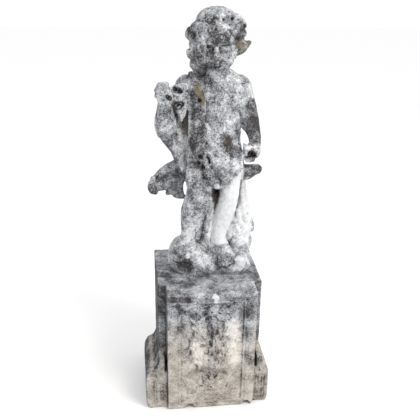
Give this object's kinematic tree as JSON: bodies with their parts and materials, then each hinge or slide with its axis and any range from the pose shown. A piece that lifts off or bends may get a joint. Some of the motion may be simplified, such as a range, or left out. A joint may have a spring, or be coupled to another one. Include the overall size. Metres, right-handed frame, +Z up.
{
  "type": "garden statue of a cherub on a pedestal",
  "caption": "Weathered limestone putto wrapped in a mantle, standing on a rock on a carved pedestal with scrolled sides.",
  "frame": {"origin": "centre of the pedestal's underside, on the ground", "axes": "+Z up, -Y towards the side that the child and the carved panel face"},
  "size_m": [0.486, 0.395, 1.5102],
  "materials": {
    "figure_stone": "weathered, grey with dark lichen and clean pale patches",
    "pedestal_stone": "weathered, grey above and tan towards the ground"
  },
  "bodies": {
    "root": {"cherub_figure": "figure_stone", "pedestal": "pedestal_stone"}
  },
  "joints": []
}
